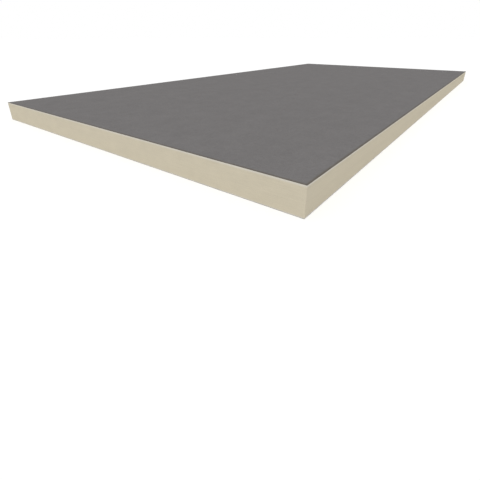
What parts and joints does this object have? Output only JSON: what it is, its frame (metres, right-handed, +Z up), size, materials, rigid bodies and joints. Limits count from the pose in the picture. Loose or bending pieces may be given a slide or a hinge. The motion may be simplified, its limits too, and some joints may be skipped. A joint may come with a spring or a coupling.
{
  "type": "roof insulation board",
  "caption": "Flat square-edged slab of rigid cream foam with a grey fibre-reinforced facer bonded to each broad face, laid on a roof deck as thermal insulation under the roof covering.",
  "frame": {"origin": "middle of the underside, on the surface that the board lies on", "axes": "+X along the board's length, +Y across its width, +Z up through its thickness"},
  "size_m": [2.4384, 1.2192, 0.0635],
  "materials": {
    "foam": "cream rigid foam, saw-cut, matte",
    "facer": "grey glass-fibre-reinforced facer sheet, matte"
  },
  "bodies": {
    "root": {"foam_core": "foam", "top_facer": "facer", "bottom_facer": "facer"}
  },
  "joints": []
}
